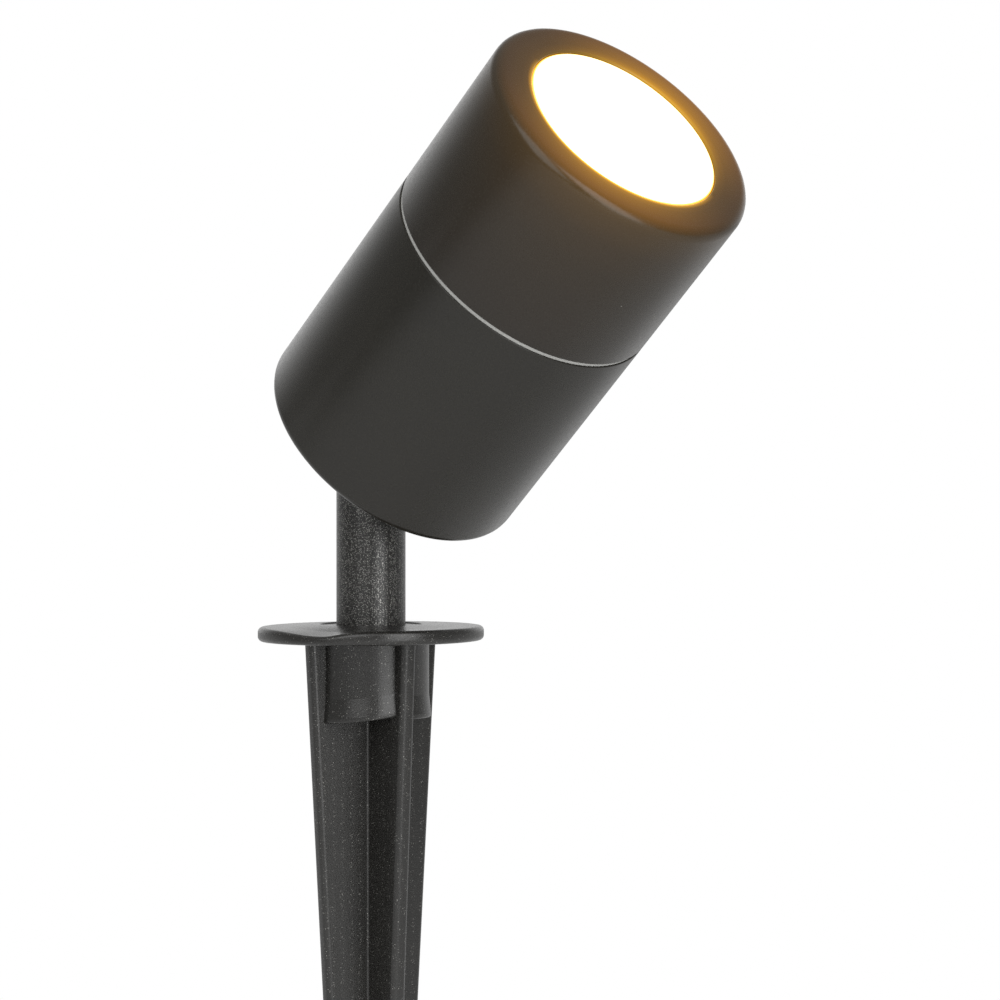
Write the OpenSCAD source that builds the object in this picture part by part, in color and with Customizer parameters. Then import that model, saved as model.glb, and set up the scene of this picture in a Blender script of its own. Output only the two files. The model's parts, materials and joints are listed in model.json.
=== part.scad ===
// Garden spotlight on a ground spike: a tilting cylinder head on a short round stem.
// Z is up. The origin is on the stem's axis at ground level, on the underside of the flange.
// The head tilts towards -Y about a hinge along X, and its pieces are drawn upright
// in the head's own frame, whose Z is the beam and whose zero is the rear face.

/* [Ground spike] */
// Diameter of the flange that rests on the soil
flange_d = 49; // [44:0.5:70]
// Thickness of the flange
flange_t = 3.1; // [2.4:0.1:5]
// Radius of the flange's rounded rim
flange_edge_r = 1.45; // [0.4:0.05:2]
// How far the flange's top rises at the socket's mouth
mouth_rise = 0.5; // [0.1:0.05:1]
// Radial width of the slope up to the socket's mouth
mouth_slope_w = 5.5; // [3:0.1:6]
// Bore of the socket that takes the stem's foot
socket_d = 22.2; // [20:0.1:26]
// Depth of the socket below the flange's underside
socket_depth = 13.4; // [12:0.1:24]
// Thickness of the socket's floor
socket_floor = 4.1; // [2.5:0.1:6]
// Wall of the collar round the socket
collar_wall = 1.5; // [1:0.1:2.5]
// How far the collar's lower band flares out
collar_flare = 0.4; // [0:0.05:0.8]
// Height of the collar's flared band
flare_h = 4.5; // [2:0.1:8]
// Slope of the collar's lower lip in two opposite quarters, in degrees
lip_slope = 8.4; // [0:0.1:10]
// How much shorter the collar is in its other two quarters
lip_step = 1; // [0:0.1:2]
// Reach of the fins from the stem's axis, at the flange
fin_reach = 16.2; // [14.5:0.1:21]
// Lean of the fins' outer edges, in degrees
fin_lean = 3.4; // [1:0.1:4]
// Thickness of the fins
fin_t = 3.4; // [2:0.1:5]
// Radius along the fins' outer edges
fin_edge_r = 0.7; // [0.3:0.05:0.9]
// Length of the spike below the flange
spike_len = 165; // [110:1:180]
// Length of the spike's point
point_len = 28; // [15:1:40]
// Reach of the fins at the very tip
tip_reach = 1.9; // [1.6:0.1:2.5]
// Turn of the fins about the stem, away from the tilt plane, in degrees
spike_turn = -9; // [-45:1:45]

/* [Stem] */
// Diameter of the stem
stem_d = 15; // [13:0.1:17]
// Height of the hinge axis above the flange
pivot_h = 34; // [33:0.5:80]
// Bore that lightens the stem from below
stem_core_d = 8; // [4:0.5:9]
// Depth of the foot's top below the socket's mouth
foot_sunk = 0.3; // [0.1:0.1:6]
// Section of the friction rings round the foot
ring_section = 2; // [1.5:0.1:2.4]
// Depth of a friction ring's groove in the foot
ring_groove = 1.7; // [1.2:0.1:2]

/* [Tilt hinge] */
// Tilt of the beam from upright as it stands here, in degrees
rest_tilt = 48.6; // [0:0.1:90]
// Distance from the hinge axis to the head's rear face
knuckle_reach = 10; // [10:0.1:11.5]
// Thickness of the lug between the fork's ears
lug_t = 5.2; // [4:0.1:6]
// Radius of the lug's round end
lug_r = 6.5; // [5:0.1:6.8]
// Thickness of the lug's foot on the rear face
lug_foot_t = 2; // [1.6:0.1:2.2]
// Radius of the lug's foot
lug_foot_r = 11; // [10.6:0.1:11.4]
// Diameter of the hinge bolt
bolt_d = 4; // [3:0.5:4]
// Diameter of the hinge bolt's head
bolt_head_d = 7.6; // [7:0.1:8]
// Height of the hinge bolt's head
bolt_head_h = 2.2; // [1.5:0.1:2.4]
// Thickness of the hinge nut
nut_h = 2.6; // [2:0.1:3]
// Thickness of the hinge washers
washer_t = 0.8; // [0.5:0.1:1]
// Depth of the flats that the hinge washers seat on
ear_flat = 1.1; // [0.6:0.1:1.4]

/* [Head] */
// Outer diameter of the head
head_d = 60; // [54:0.5:80]
// Length of the head from its rear face to the bezel's face
head_len = 93.8; // [85:0.1:120]
// Distance from the rear face to the middle of the seam
seam_at = 55.7; // [52:0.1:66]
// Width of the seam between housing and bezel
seam_gap = 0.8; // [0.5:0.05:1.5]
// Radius of the rounded rear edge
rear_edge_r = 2; // [0.5:0.1:3]
// Thickness of the rear wall
rear_wall = 3; // [2.5:0.1:4]
// Thickness of the housing's side wall
housing_wall = 2.6; // [1.8:0.1:3]
// How far the housing's neck reaches behind the seam
neck_len = 6; // [3:0.5:9]
// Length of the spigot that the bezel screws on
spigot_len = 9.6; // [6:0.1:12]
// Thickness of the spigot's wall
spigot_wall = 2.2; // [1.5:0.1:2.6]
// Wall of the bezel round the spigot
bezel_thread_wall = 2; // [1.5:0.1:2.2]
// How far the seam's gasket stays back from the head's surface
gasket_inset = 0.35; // [0:0.05:1]

/* [Bezel and lens] */
// Radius of the rounded front edge
front_edge_r = 2.5; // [0.5:0.1:3]
// Thickness of the bezel's side wall ahead of the spigot
bezel_wall = 3.8; // [3:0.1:4.6]
// Thickness of the bezel's front lip
lip_t = 3; // [2:0.1:3.6]
// How far the bezel's lip reaches in over the lens
lip_reach = 4.5; // [3:0.1:8]
// How far the lens lies behind the bezel's face
lens_recess = 0.3; // [0:0.05:1.5]
// Thickness of the lens's flange
lens_t = 3; // [2:0.1:3.4]
// Thickness of the lens's gasket
lens_gasket_t = 1; // [0.6:0.1:1.4]
// Thickness of the ring that holds the lens
keeper_t = 2.4; // [1.6:0.1:2.6]
// Radial width of the ring that holds the lens
keeper_w = 3.4; // [2:0.1:4]

/* [Cable gland] */
// Distance of the cable gland from the head's axis
gland_offset = 18; // [17.8:0.1:18.6]
// Bore of the gland for the cable
gland_bore_d = 6.4; // [4.4:0.1:6.6]
// Diameter of the gland's thread
gland_thread_d = 10; // [9.4:0.1:10.4]
// Width of the gland's hexagons across their flats
gland_hex = 12; // [11.4:0.1:12.4]
// Height of the gland body's hexagon
gland_hex_h = 3; // [2:0.1:4]
// Length of the gland's cap
gland_cap_len = 9; // [8:0.1:10]
// Height of the gland's locknut
locknut_h = 3; // [2:0.1:4]

/* [Lamp] */
// Room round the lamp where the head is narrowest
lamp_room = 0.7; // [0.4:0.1:3]
// Room between the lamp and the ring that holds the lens
lamp_front_room = 1.9; // [0.8:0.1:6]
// Diameter of the lamp's base
lamp_base_d = 24; // [22:0.5:26]
// Height of the lamp's base
lamp_base_h = 6; // [4:0.5:9]
// Height of the lamp's front rim
lamp_rim_h = 8; // [5:0.5:10]
// Wall of the lamp's shell
lamp_wall = 1.4; // [1:0.1:1.8]
// Spacing of the lamp's pins
pin_pitch = 10; // [9.6:0.1:10.4]
// Diameter of a pin's neck
pin_neck_d = 3.1; // [2.8:0.1:3.4]
// Diameter of a pin's button
pin_head_d = 4.8; // [4.4:0.1:5]
// Height of a pin's button
pin_head_h = 2.2; // [1.5:0.1:2.6]
// Length of the pins
pin_len = 7; // [6.6:0.1:7.4]
// Turn that frees the lamp from its holder, in degrees
lamp_twist = 25; // [15:1:35]

/* [Lamp holder and wiring] */
// Diameter of the lamp holder
holder_d = 30; // [29:0.5:34]
// Height of the lamp holder
holder_h = 14.5; // [14:0.1:16]
// Height of the bracket above the rear wall
bracket_rise = 9.5; // [9:0.1:12]
// Thickness of the bracket
bracket_t = 1.5; // [1:0.1:2]
// Width of the bracket
bracket_w = 28; // [26:0.5:32]
// Diameter of the bracket's wiring hole
wiring_hole_d = 15; // [13.5:0.5:16]
// Distance from the head's axis to a bracket post
post_offset = 20; // [19.5:0.1:21]
// Diameter of the small screws
small_screw_d = 3; // [2.5:0.1:3]
// Diameter of the insulated leads
lead_d = 2.2; // [1.6:0.1:2.4]
// Length of the terminal block
block_len = 20; // [18:0.5:22]
// Width of the terminal block
block_w = 10; // [8:0.5:10]
// Height of the terminal block
block_h = 8; // [7:0.1:8.5]

/* [Clearances] */
// Radial clearance of a shaft or thread that turns
running_gap = 0.05; // [0.01:0.01:0.1]
// Gap between faces that seat on each other
seat_gap = 0.05; // [0.01:0.01:0.2]
// Gap between pieces that move past each other
side_gap = 0.3; // [0.2:0.05:0.5]
// Radial gap of a piece dropped loosely in its seat
drop_gap = 0.2; // [0.1:0.05:0.3]

/* [Hidden] */
$fn = 96;

// Colours
powder_black = "#3a3936";
cast_black = "#3d3d3c";
nylon_black = "#343433";
seam_grey = "#a4a5a3";
bright_steel = "#b9bcc0";
brass = "#c9a454";
seal_black = "#1f1f1f";
ceramic = "#ece8df";
lamp_white = "#f2f1ec";
opal = "#fffdf4";

// A small overlap that makes cuts run clear through
eps = 0.1;

// Thickness of the slices that the fins are stretched between
blade_slice = 0.2;

// Heights on the stem's axis
pivot_z = flange_t + pivot_h;
mouth_z = flange_t + mouth_rise;
foot_top = mouth_z - foot_sunk;
foot_bottom = seat_gap - socket_depth;

// Radii of the stem and its foot
stem_r = stem_d / 2;
socket_r = socket_d / 2;
collar_r = socket_r + collar_wall;
foot_r = socket_r - 3 * running_gap;

// The fork and the hinge bolt
slot_w = lug_t + 2 * side_gap;
fork_room = 1.5;
slot_drop = lug_r + fork_room;
ear_face = stem_r - ear_flat;
bolt_r = bolt_d / 2;
washer_face = ear_face + washer_t + seat_gap;
nut_face = washer_face + seat_gap;
bolt_stub = 0.4;
bolt_end = nut_face + nut_h + bolt_stub;
hinge_nut_af = 7;
washer_rim = 0.6;
washer_r = bolt_head_d / 2 + washer_rim;
ear_flat_rim = 0.4;
core_roof = 4;

// The head's radii and heights, in its own frame
head_r = head_d / 2;
housing_r = head_r - housing_wall;
seam_low = seam_at - seam_gap / 2;
seam_high = seam_at + seam_gap / 2;
thread_r = head_r - bezel_thread_wall;
spigot_r = thread_r - 2 * running_gap;
throat_r = spigot_r - spigot_wall;
spigot_top = seam_low + spigot_len;
bezel_bore_r = head_r - bezel_wall;
thread_relief = 1.2;

// The lens stack, counted back from the bezel's face
aperture_r = bezel_bore_r - lip_reach;
lens_fit = 0.12;
lens_face = head_len - lens_recess;
lip_low = head_len - lip_t;
lens_gasket_low = lip_low - seat_gap - lens_gasket_t;
lens_step = lens_gasket_low - seat_gap;
lens_low = lens_step - lens_t;
keeper_low = lens_low - seat_gap - keeper_t;
lens_r = bezel_bore_r - side_gap;
notch_w = 3;
notch_depth = 1;

// The holder and the lamp
bracket_low = rear_wall + bracket_rise;
bracket_end_gap = 1;
holder_low = bracket_low + bracket_t + seat_gap;
holder_top = holder_low + holder_h;
lamp_low = holder_top + side_gap;
lamp_top = keeper_low - lamp_front_room;
lamp_r = min(throat_r, bezel_bore_r) - lamp_room;
lamp_base_r = lamp_base_d / 2;
pin_at = pin_pitch / 2;
pin_tip = lamp_low - pin_len;
pin_neck_r = pin_neck_d / 2;
pin_head_r = pin_head_d / 2;
pin_tail = 2;
pin_collar = 0.6;
pin_collar_h = 1;
slot_cap_t = 3;
slot_waist = 0.05;
contact_t = 0.8;
contact_top = pin_tip - drop_gap;
contact_low = contact_top - contact_t;
pin_room_h = holder_top - slot_cap_t - contact_low + drop_gap;
holder_screw_at = 10.9;
screw_seat_h = 6;
screw_seat = holder_low + screw_seat_h;
screw_tail = 1;

// The lamp's inside
cone_low = lamp_low + lamp_base_h;
cone_top = lamp_top - lamp_rim_h;
base_step = 2;
cone_foot_r = lamp_base_r + base_step;
cover_t = 2;
board_t = 1.6;
led_board_drop = 6;
led_board_low = cone_top - led_board_drop;
chip_w = 3;
chip_h = 0.8;
chip_ring_r = 12;
chip_count = 8;
driver_low = lamp_low + lamp_wall + seat_gap;
driver_w = 16;
driver_h = 26;
driver_t = 1.2;
driver_x = 3.4;
driver_lead_r = 0.6;
driver_lead_at = 4;
driver_lead_lap = 3;
capacitor_r = 4;
capacitor_h = 10;
capacitor_lap = 8;
choke_size = [6, 8, 9];
choke_rise = 6;

// The wiring
lead_r = lead_d / 2;
lead_run = rear_wall + block_h / 2;
lead_bend_r = 4;
lead_entry = 1.2;
lead_top = holder_low + lead_entry;
lead_grip = 0.85 * block_w;
block_x = -11;
sleeve_wall = 1.1;
sleeve_r = lead_r + drop_gap + sleeve_wall;
sleeve_back = 0.5;
way_screws = [0.26 * block_w, 0.74 * block_w];
way_screw_r = 1;
way_screw_len = block_h / 2 - lead_r - 1;
way_hole_r = 1.7;
slot_cut = 0.6;
screw_head_ratio = 1.85;
recess_ratio = 0.72;
small_r = small_screw_d / 2;
small_head_r = small_r * screw_head_ratio;
small_head_h = 1.8;
screw_bite = 5;
hole_spare = 0.5;
boss_wall = 2;
boss_h = 4;
knuckle_screw_at = 7.2;
earth_at = [12, -14];
earth_boss_h = 3;
tag_t = 0.8;
tag_len = 11;
tag_w = 3;
crimp_len = 4;
earth_r = 2;
earth_head_h = 2.4;

// The gland
gland_bore_r = gland_bore_d / 2;
gland_r = gland_thread_d / 2;
gland_hex_r = gland_hex / 2 / cos(30);
gland_cap_r = gland_hex / 2;
cap_wall = 1.2;
cap_mouth = 2;
seal_len = 4;
thread_stub = 1;
gland_thread_len = rear_wall + locknut_h + thread_stub;
gland_neck_r = gland_cap_r - cap_wall - running_gap;
gland_neck_len = gland_cap_len - cap_mouth - seal_len;
gland_neck_top = gland_hex_h + gland_neck_len;

// Places its children in the head's frame, tilted about the hinge axis
module at_head() {
    translate([0, 0, pivot_z])
        rotate([rest_tilt, 0, 0])
            translate([0, 0, knuckle_reach])
                children();
}

// Places its children at the hinge axis, with Z along the row's +X
module at_hinge() {
    translate([0, 0, pivot_z])
        rotate([0, 90, 0])
            children();
}

// Draws its children at both sides of a plane across X
module both_sides(offset_x) {
    for (side = [-1, 1])
        translate([side * offset_x, 0, 0])
            children();
}

// Draws its children at both sides of a plane across Y
module front_and_back(offset_y) {
    for (side = [-1, 1])
        translate([0, side * offset_y, 0])
            children();
}

// A flat ring that stands on z = 0
module ring(outer_r, inner_r, height) {
    difference() {
        cylinder(r = outer_r, h = height);
        translate([0, 0, -eps])
            cylinder(r = inner_r, h = height + 2 * eps);
    }
}

// A disc on z = 0 whose lower rim is rounded
module round_foot_disc(radius, edge_r, height) {
    rotate_extrude() {
        square([radius - edge_r, height]);
        translate([0, edge_r])
            square([radius, height - edge_r]);
        translate([radius - edge_r, edge_r])
            intersection() {
                circle(r = edge_r);
                translate([0, -edge_r])
                    square(edge_r + eps / 10);
            }
    }
}

// A screw that points down, with its head above z = 0 and a hexagonal recess
module cap_screw(shank_r, shank_len, head_r, head_h) {
    difference() {
        union() {
            cylinder(r = head_r, h = head_h);
            translate([0, 0, -shank_len])
                cylinder(r = shank_r, h = shank_len + eps);
        }
        translate([0, 0, head_h / 2])
            cylinder(r = shank_r * recess_ratio, h = head_h, $fn = 6);
    }
}

// A screw that points down, with a conical head flush at z = 0 and a hexagonal recess
module flush_screw(shank_r, shank_len, head_r) {
    difference() {
        union() {
            translate([0, 0, shank_r - head_r])
                cylinder(r1 = shank_r, r2 = head_r, h = head_r - shank_r);
            translate([0, 0, -shank_len])
                cylinder(r = shank_r, h = shank_len - head_r + shank_r + eps);
        }
        translate([0, 0, -shank_r / 2])
            cylinder(r = shank_r * recess_ratio, h = shank_r, $fn = 6);
    }
}

// A slot bent round the Z axis from a pin's place to where the lamp comes free
module twist_slot(half_width, height) {
    rotate_extrude(angle = lamp_twist)
        translate([pin_at - half_width + slot_waist, 0])
            square([2 * (half_width - slot_waist), height]);
    for (turn = [0, lamp_twist])
        rotate([0, 0, turn])
            translate([pin_at, 0, 0])
                cylinder(r = half_width, h = height);
}

// Turns its children to both pins, which lie along Y
module at_pins() {
    for (turn = [90, 270])
        rotate([0, 0, turn])
            children();
}

// One blade across the spike: a pair of fins with rounded edges and a point
module blade() {
    shoulder_z = point_len - spike_len;
    shoulder_reach = fin_reach + shoulder_z * tan(fin_lean);
    corner_y = fin_t / 2 - fin_edge_r;
    hull()
        for (slice = [[flange_t / 2, fin_reach], [shoulder_z, shoulder_reach], [-spike_len, tip_reach]])
            both_sides(slice[1] - fin_edge_r)
                front_and_back(corner_y)
                    translate([0, 0, slice[0]])
                        cylinder(r = fin_edge_r, h = blade_slice, $fn = 32);
}

// The socket's collar, flared at its lower band. Its lip slopes in two opposite quarters
// and is level and higher in the other two, with its steps inside the fins
module collar() {
    collar_len = socket_depth + socket_floor;
    lip_r = collar_r + collar_flare;
    rise = lip_r * tan(lip_slope);
    difference() {
        union() {
            translate([0, 0, -collar_len])
                cylinder(r = lip_r, h = flare_h / 4);
            translate([0, 0, flare_h / 4 - collar_len])
                cylinder(r1 = lip_r, r2 = collar_r, h = flare_h * 3 / 4);
            translate([0, 0, flare_h - collar_len])
                cylinder(r = collar_r, h = collar_len - flare_h + flange_t / 2);
        }
        for (half_turn = [0, 180])
            rotate([0, 0, half_turn + spike_turn]) {
                translate([0, 0, rise - collar_len])
                    rotate([0, lip_slope, 0])
                        translate([0, 0, -2 * rise - eps])
                            cube([2 * lip_r, 2 * lip_r, 2 * rise + eps]);
                translate([-2 * lip_r, 0, -collar_len - eps])
                    cube([2 * lip_r, 2 * lip_r, lip_step + eps]);
            }
    }
}

module ground_spike() {
    rim_r = min(flange_edge_r, flange_t * 0.48);
    color(nylon_black)
        difference() {
            union() {
                rotate_extrude() {
                    square([flange_d / 2 - rim_r, flange_t]);
                    for (height = [rim_r, flange_t - rim_r])
                        translate([flange_d / 2 - rim_r, height])
                            circle(r = rim_r);
                    translate([flange_d / 2 - rim_r, rim_r])
                        square([rim_r, flange_t - 2 * rim_r]);
                    polygon([
                        [0, rim_r], [collar_r + mouth_slope_w, rim_r], [collar_r + mouth_slope_w, flange_t],
                        [collar_r, mouth_z], [0, mouth_z]
                    ]);
                }
                collar();
                rotate([0, 0, spike_turn])
                    blade();
                rotate([0, 0, spike_turn + 90])
                    blade();
            }
            translate([0, 0, -socket_depth])
                cylinder(r = socket_r, h = socket_depth + mouth_z + eps);
        }
}

// Heights of the two friction grooves on the foot
function groove_z(index) = foot_bottom + (foot_top - foot_bottom) * (index + 0.5) / 2 - ring_section / 2;

module stem() {
    color(cast_black)
        difference() {
            union() {
                translate([0, 0, foot_bottom])
                    cylinder(r = foot_r, h = foot_top - foot_bottom);
                translate([0, 0, foot_bottom])
                    cylinder(r = stem_r, h = pivot_z - foot_bottom);
                intersection() {
                    translate([0, 0, foot_top])
                        cylinder(r = stem_r, h = pivot_z + 2 * stem_r - foot_top);
                    at_hinge()
                        cylinder(r = stem_r, h = 2 * stem_r, center = true);
                }
            }
            for (index = [0, 1])
                translate([0, 0, groove_z(index)])
                    ring(foot_r + eps, foot_r - ring_groove, ring_section);
            translate([0, 0, foot_bottom - eps])
                cylinder(d = stem_core_d, h = pivot_z - slot_drop - core_roof - foot_bottom);
            translate([-slot_w / 2, -stem_r - eps, pivot_z - slot_drop])
                cube([slot_w, 2 * stem_r + 2 * eps, slot_drop + stem_r + eps]);
            at_hinge()
                cylinder(r = bolt_r + running_gap, h = 2 * stem_r + eps, center = true);
            at_hinge()
                for (side = [0, 180])
                    rotate([side, 0, 0])
                        translate([0, 0, ear_face])
                            cylinder(r = washer_r + ear_flat_rim, h = ear_flat + eps);
        }
}

module foot_rings() {
    color(seal_black)
        for (index = [0, 1])
            translate([0, 0, groove_z(index) + seat_gap])
                ring(socket_r - running_gap, foot_r - ring_groove + seat_gap, ring_section - 2 * seat_gap);
}

module hinge_bolt() {
    color(bright_steel)
        at_hinge()
            rotate([180, 0, 0])
                translate([0, 0, nut_face])
                    cap_screw(bolt_r, nut_face + bolt_end, bolt_head_d / 2, bolt_head_h);
}

module hinge_nut() {
    color(bright_steel)
        at_hinge()
            translate([0, 0, nut_face])
                difference() {
                    cylinder(r = hinge_nut_af / 2 / cos(30), h = nut_h, $fn = 6);
                    translate([0, 0, -eps])
                        cylinder(r = bolt_r + running_gap, h = nut_h + 2 * eps);
                }
}

module hinge_washers() {
    color(bright_steel)
        at_hinge()
            for (side = [0, 180])
                rotate([side, 0, 0])
                    translate([0, 0, ear_face + seat_gap])
                        ring(washer_r, bolt_r + 2 * running_gap, washer_t - seat_gap);
}

module knuckle() {
    color(powder_black)
        at_head()
            difference() {
                union() {
                    translate([0, 0, -lug_foot_t])
                        cylinder(r = lug_foot_r, h = lug_foot_t - seat_gap);
                    translate([-lug_t / 2, -lug_r, -knuckle_reach])
                        cube([lug_t, 2 * lug_r, knuckle_reach - lug_foot_t + eps]);
                    translate([0, 0, -knuckle_reach])
                        rotate([0, 90, 0])
                            cylinder(r = lug_r, h = lug_t, center = true);
                }
                translate([0, 0, -knuckle_reach])
                    rotate([0, 90, 0])
                        cylinder(r = bolt_r + running_gap, h = lug_t + 2 * eps, center = true);
                both_sides(knuckle_screw_at)
                    translate([0, 0, -lug_foot_t])
                        rotate([180, 0, 0])
                            knuckle_screw_cut();
            }
}

// The hole through the lug's foot for one of its screws, larger than the screw all round
module knuckle_screw_cut() {
    sink = small_head_r - small_r + seat_gap;
    translate([0, 0, -sink])
        cylinder(r1 = small_r + seat_gap, r2 = small_head_r + seat_gap, h = sink);
    translate([0, 0, -lug_foot_t - eps])
        cylinder(r = small_r + seat_gap, h = lug_foot_t + eps);
    translate([0, 0, -seat_gap / 2])
        cylinder(r = small_head_r + seat_gap, h = eps + seat_gap);
}

module knuckle_screws() {
    color(bright_steel)
        at_head()
            both_sides(knuckle_screw_at)
                translate([0, 0, -lug_foot_t])
                    rotate([180, 0, 0])
                        flush_screw(small_r, lug_foot_t + screw_bite, small_head_r);
}

// Hole for a screw that bites into a boss, as deep as the screw and a little more
module tapped_hole(radius, depth) {
    translate([0, 0, -depth - hole_spare])
        cylinder(r = radius + running_gap, h = depth + hole_spare + eps);
}

module rear_housing() {
    color(powder_black)
        at_head()
            difference() {
                union() {
                    difference() {
                        round_foot_disc(head_r, rear_edge_r, seam_low);
                        translate([0, 0, rear_wall])
                            cylinder(r = housing_r, h = seam_low - neck_len - rear_wall);
                        translate([0, 0, rear_wall])
                            cylinder(r = throat_r, h = seam_low);
                    }
                    translate([0, 0, seam_low - neck_len])
                        ring(spigot_r, throat_r, neck_len + spigot_len);
                    both_sides(knuckle_screw_at)
                        cylinder(r = small_r + boss_wall, h = rear_wall + boss_h);
                    front_and_back(post_offset)
                        cylinder(r = small_r + boss_wall, h = bracket_low - seat_gap);
                    translate(earth_at)
                        cylinder(r = earth_r + boss_wall, h = rear_wall + earth_boss_h);
                }
                both_sides(knuckle_screw_at)
                    rotate([180, 0, 0])
                        tapped_hole(small_r, screw_bite);
                front_and_back(post_offset)
                    translate([0, 0, bracket_low])
                        tapped_hole(small_r, screw_bite);
                translate([earth_at[0], earth_at[1], rear_wall + earth_boss_h])
                    tapped_hole(earth_r, earth_boss_h);
                translate([gland_offset, 0, -eps])
                    cylinder(r = gland_r + running_gap, h = rear_wall + 2 * eps);
            }
}

module body_gasket() {
    color(seam_grey)
        at_head()
            translate([0, 0, seam_low])
                ring(head_r - gasket_inset, spigot_r + seat_gap, seam_gap - seat_gap);
}

// Places its children on the gland's axis, with Z pointing out of the rear face
module at_gland() {
    at_head()
        translate([gland_offset, 0, 0])
            rotate([180, 0, 0])
                children();
}

// A hexagonal prism with two of its flats facing the head's axis
module gland_hexagon(height) {
    rotate([0, 0, 30])
        cylinder(r = gland_hex_r, h = height, $fn = 6);
}

module gland_body() {
    color(nylon_black)
        at_gland()
            difference() {
                union() {
                    translate([0, 0, seat_gap])
                        gland_hexagon(gland_hex_h);
                    translate([0, 0, gland_hex_h])
                        cylinder(r = gland_neck_r, h = gland_neck_len);
                    translate([0, 0, -gland_thread_len])
                        cylinder(r = gland_r, h = gland_thread_len + 2 * seat_gap);
                }
                translate([0, 0, -gland_thread_len - eps])
                    cylinder(r = gland_bore_r, h = gland_thread_len + gland_neck_top + 2 * eps);
            }
}

module gland_locknut() {
    color(nylon_black)
        at_gland()
            translate([0, 0, -rear_wall - locknut_h - seat_gap])
                difference() {
                    gland_hexagon(locknut_h);
                    translate([0, 0, -eps])
                        cylinder(r = gland_r + running_gap, h = locknut_h + 2 * eps);
                }
}

module gland_seal() {
    color(seal_black)
        at_gland()
            translate([0, 0, gland_neck_top + seat_gap])
                ring(gland_neck_r, gland_bore_r, seal_len - 2 * seat_gap);
}

module gland_cap() {
    color(nylon_black)
        at_gland()
            translate([0, 0, gland_hex_h + 2 * seat_gap])
                difference() {
                    union() {
                        cylinder(r = gland_cap_r, h = gland_cap_len - cap_mouth);
                        translate([0, 0, gland_cap_len - cap_mouth])
                            cylinder(r1 = gland_cap_r, r2 = gland_cap_r - cap_mouth, h = cap_mouth);
                    }
                    translate([0, 0, -eps])
                        cylinder(r = gland_cap_r - cap_wall, h = gland_cap_len - cap_mouth + eps);
                    cylinder(r = gland_bore_r, h = gland_cap_len + eps);
                }
}

module holder_bracket() {
    color(bright_steel)
        at_head()
            translate([0, 0, bracket_low])
                difference() {
                    intersection() {
                        translate([-bracket_w / 2, -housing_r, 0])
                            cube([bracket_w, 2 * housing_r, bracket_t]);
                        cylinder(r = housing_r - bracket_end_gap, h = bracket_t);
                    }
                    translate([0, 0, -eps])
                        cylinder(d = wiring_hole_d, h = bracket_t + 2 * eps);
                    front_and_back(post_offset)
                        translate([0, 0, -eps])
                            cylinder(r = small_r + running_gap, h = bracket_t + 2 * eps);
                    both_sides(holder_screw_at)
                        translate([0, 0, -eps])
                            cylinder(r = small_r + running_gap, h = bracket_t + 2 * eps);
                }
}

module bracket_screws() {
    color(bright_steel)
        at_head()
            front_and_back(post_offset)
                translate([0, 0, bracket_low + bracket_t + seat_gap])
                    cap_screw(small_r, screw_bite + bracket_t, small_head_r, small_head_h);
}

module lamp_holder() {
    color(ceramic)
        at_head()
            difference() {
                translate([0, 0, holder_low])
                    cylinder(d = holder_d, h = holder_h);
                at_pins() {
                    translate([0, 0, contact_low - drop_gap])
                        twist_slot(pin_head_r + side_gap, pin_room_h);
                    translate([0, 0, holder_top - slot_cap_t - eps])
                        twist_slot(pin_neck_r + side_gap, slot_cap_t + 2 * eps);
                    rotate([0, 0, lamp_twist])
                        translate([pin_at, 0, holder_top - slot_cap_t - eps])
                            cylinder(r = pin_head_r + side_gap, h = slot_cap_t + 2 * eps);
                    translate([pin_at, 0, holder_low - eps])
                        cylinder(r = lead_r + drop_gap, h = contact_low - holder_low + eps);
                }
                both_sides(holder_screw_at) {
                    translate([0, 0, holder_low - eps])
                        cylinder(r = small_r + running_gap, h = holder_h + 2 * eps);
                    translate([0, 0, screw_seat])
                        cylinder(r = small_head_r + side_gap, h = holder_h);
                }
            }
}

module holder_contacts() {
    color(brass)
        at_head()
            at_pins() {
                translate([0, 0, contact_low])
                    twist_slot(pin_head_r, contact_t);
                translate([pin_at, 0, lead_top + seat_gap])
                    cylinder(r = lead_r, h = contact_low - lead_top);
            }
}

module holder_screws() {
    color(bright_steel)
        at_head()
            both_sides(holder_screw_at)
                translate([0, 0, screw_seat + seat_gap])
                    cap_screw(small_r, screw_seat - bracket_low + screw_tail, small_head_r, small_head_h);
}

// Places its children at the mouths of the terminal block's two ways, which run along X
module at_ways() {
    front_and_back(pin_at)
        translate([block_x, 0, lead_run])
            children();
}

module terminal_block() {
    color(lamp_white)
        at_head()
            difference() {
                translate([block_x - block_w, -block_len / 2, rear_wall + seat_gap])
                    cube([block_w, block_len, block_h - seat_gap]);
                at_ways() {
                    rotate([0, -90, 0])
                        translate([0, 0, -eps])
                            cylinder(r = sleeve_r + seat_gap, h = block_w + 2 * eps);
                    for (x = way_screws)
                        translate([-x, 0, 0])
                            cylinder(r = way_hole_r, h = block_h);
                }
            }
}

module terminal_sleeves() {
    color(brass)
        at_head()
            at_ways()
                difference() {
                    rotate([0, -90, 0])
                        translate([0, 0, sleeve_back])
                            ring(sleeve_r, lead_r + drop_gap, block_w - 2 * sleeve_back);
                    for (x = way_screws)
                        translate([-x, 0, 0])
                            cylinder(r = way_screw_r + running_gap, h = block_h);
                }
}

module terminal_screws() {
    color(bright_steel)
        at_head()
            at_ways()
                for (x = way_screws)
                    translate([-x, 0, lead_r + drop_gap / 2])
                        difference() {
                            cylinder(r = way_screw_r, h = way_screw_len);
                            translate([-small_r, -slot_cut / 2, way_screw_len - slot_cut])
                                cube([2 * small_r, slot_cut, slot_cut + eps]);
                        }
}

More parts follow.
